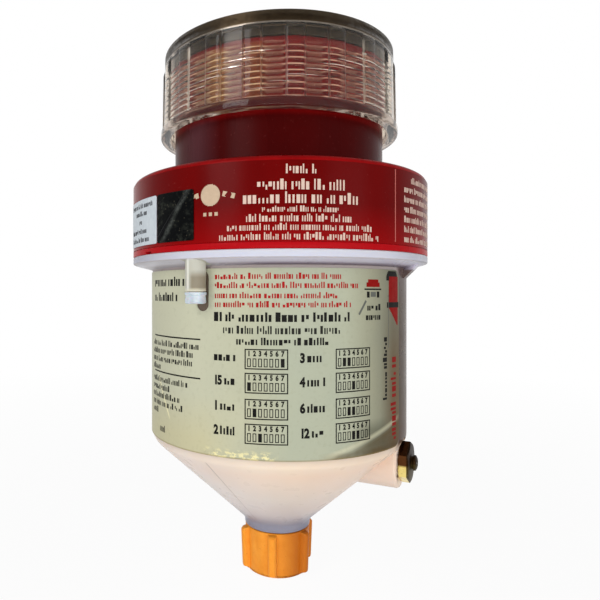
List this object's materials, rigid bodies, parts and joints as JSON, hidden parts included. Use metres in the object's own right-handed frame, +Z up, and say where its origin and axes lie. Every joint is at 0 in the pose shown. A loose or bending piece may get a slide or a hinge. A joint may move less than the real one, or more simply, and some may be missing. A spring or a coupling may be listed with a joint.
{
  "type": "automatic lubricator",
  "caption": "Gas-driven grease dispenser with a translucent funnel reservoir and piston, a refill fitting, a capped outlet, and a red electronic head under a clear screw cap.",
  "frame": {"origin": "centre of the outlet's end face, on the reservoir's axis", "axes": "+Z up along the reservoir's axis towards the screw cap, -Y towards the front of the label"},
  "size_m": [0.092, 0.092, 0.1622],
  "materials": {
    "clear_moulding": "translucent milky polymer",
    "paper_label": "printed film, satin",
    "red_moulding": "glossy red moulded plastic",
    "red_label": "glossy printed film",
    "clear_cap": "clear moulded plastic",
    "black_sticker": "glossy black film",
    "white_sticker": "matte white paper film",
    "orange_moulding": "orange moulded plastic",
    "brass": "bright turned brass",
    "steel": "bright steel",
    "rubber": "black nitrile rubber",
    "natural_plastic": "natural moulded plastic",
    "black_plastic": "black moulded plastic",
    "battery_jacket": "printed battery jacket",
    "board": "green solder resist",
    "switch_body": "red moulded switch body",
    "switch_lever": "white moulded levers",
    "lamp": "clear lens"
  },
  "bodies": {
    "housing": {"reservoir_body": "clear_moulding", "reservoir_label": "paper_label", "grease_fitting": "brass", "check_spring": "steel", "bulkhead": "natural_plastic", "bulkhead_seal": "rubber", "head_housing": "red_moulding", "head_label": "red_label", "seal_sticker": "black_sticker", "date_sticker": "white_sticker", "gas_cell": "natural_plastic", "battery_tray": "black_plastic", "battery_contacts": "steel", "battery_1": "battery_jacket", "battery_2": "battery_jacket", "battery_3": "battery_jacket", "circuit_board": "board", "board_screws": "steel", "dip_switch_block": "switch_body", "status_leds": "lamp", "control_chip": "black_plastic"},
    "cap_gasket": {"cap_seal": "rubber"},
    "cap": {"top_cap": "clear_cap"},
    "piston": {"piston": "red_moulding", "piston_ring_upper": "rubber", "piston_ring_lower": "rubber"},
    "outlet_cap": {"outlet_cap": "orange_moulding"},
    "vent_cap": {"vent_cap": "clear_cap"},
    "check_ball": {"check_ball": "steel"},
    "dip_slider_1": {"dip_slider_1": "switch_lever"},
    "dip_slider_2": {"dip_slider_2": "switch_lever"},
    "dip_slider_3": {"dip_slider_3": "switch_lever"},
    "dip_slider_4": {"dip_slider_4": "switch_lever"},
    "dip_slider_5": {"dip_slider_5": "switch_lever"},
    "dip_slider_6": {"dip_slider_6": "switch_lever"},
    "dip_slider_7": {"dip_slider_7": "switch_lever"}
  },
  "joints": [
    {"name": "cap_lift", "type": "slide", "parent": "housing", "child": "cap_gasket", "axis": [0, 0, 1], "range_m": [0, 0.02301]},
    {"name": "cap_turn", "type": "hinge", "parent": "cap_gasket", "child": "cap", "pos_m": [0, 0, 0.1341], "axis": [0, 0, 1], "range_deg": [0, 3600]},
    {"name": "piston_stroke", "type": "slide", "parent": "housing", "child": "piston", "axis": [0, 0, 1], "range_m": [0, 0.037]},
    {"name": "outlet_cap_off", "type": "slide", "parent": "housing", "child": "outlet_cap", "axis": [0, 0, -1], "range_m": [0, 0.016]},
    {"name": "vent_cap_off", "type": "slide", "parent": "housing", "child": "vent_cap", "axis": [0, 0, -1], "range_m": [0, 0.006]},
    {"name": "ball_lift", "type": "slide", "parent": "housing", "child": "check_ball", "axis": [-0.887, 0.4617, 0], "range_m": [0, 0.0008], "stiffness_N_per_m": 250, "springref_m": -0.0008, "deforming": ["check_spring"]},
    {"name": "switch_1", "type": "slide", "parent": "housing", "child": "dip_slider_1", "axis": [0, 1, 0], "range_m": [0, 0.0014]},
    {"name": "switch_2", "type": "slide", "parent": "housing", "child": "dip_slider_2", "axis": [0, 1, 0], "range_m": [0, 0.0014]},
    {"name": "switch_3", "type": "slide", "parent": "housing", "child": "dip_slider_3", "axis": [0, 1, 0], "range_m": [0, 0.0014]},
    {"name": "switch_4", "type": "slide", "parent": "housing", "child": "dip_slider_4", "axis": [0, 1, 0], "range_m": [0, 0.0014]},
    {"name": "switch_5", "type": "slide", "parent": "housing", "child": "dip_slider_5", "axis": [0, 1, 0], "range_m": [0, 0.0014]},
    {"name": "switch_6", "type": "slide", "parent": "housing", "child": "dip_slider_6", "axis": [0, 1, 0], "range_m": [0, 0.0014]},
    {"name": "switch_7", "type": "slide", "parent": "housing", "child": "dip_slider_7", "axis": [0, 1, 0], "range_m": [0, 0.0014]}
  ],
  "couplings": [
    {"joint": "cap_lift", "follows": "cap_turn", "m_per_rad": 0.00036606}
  ]
}
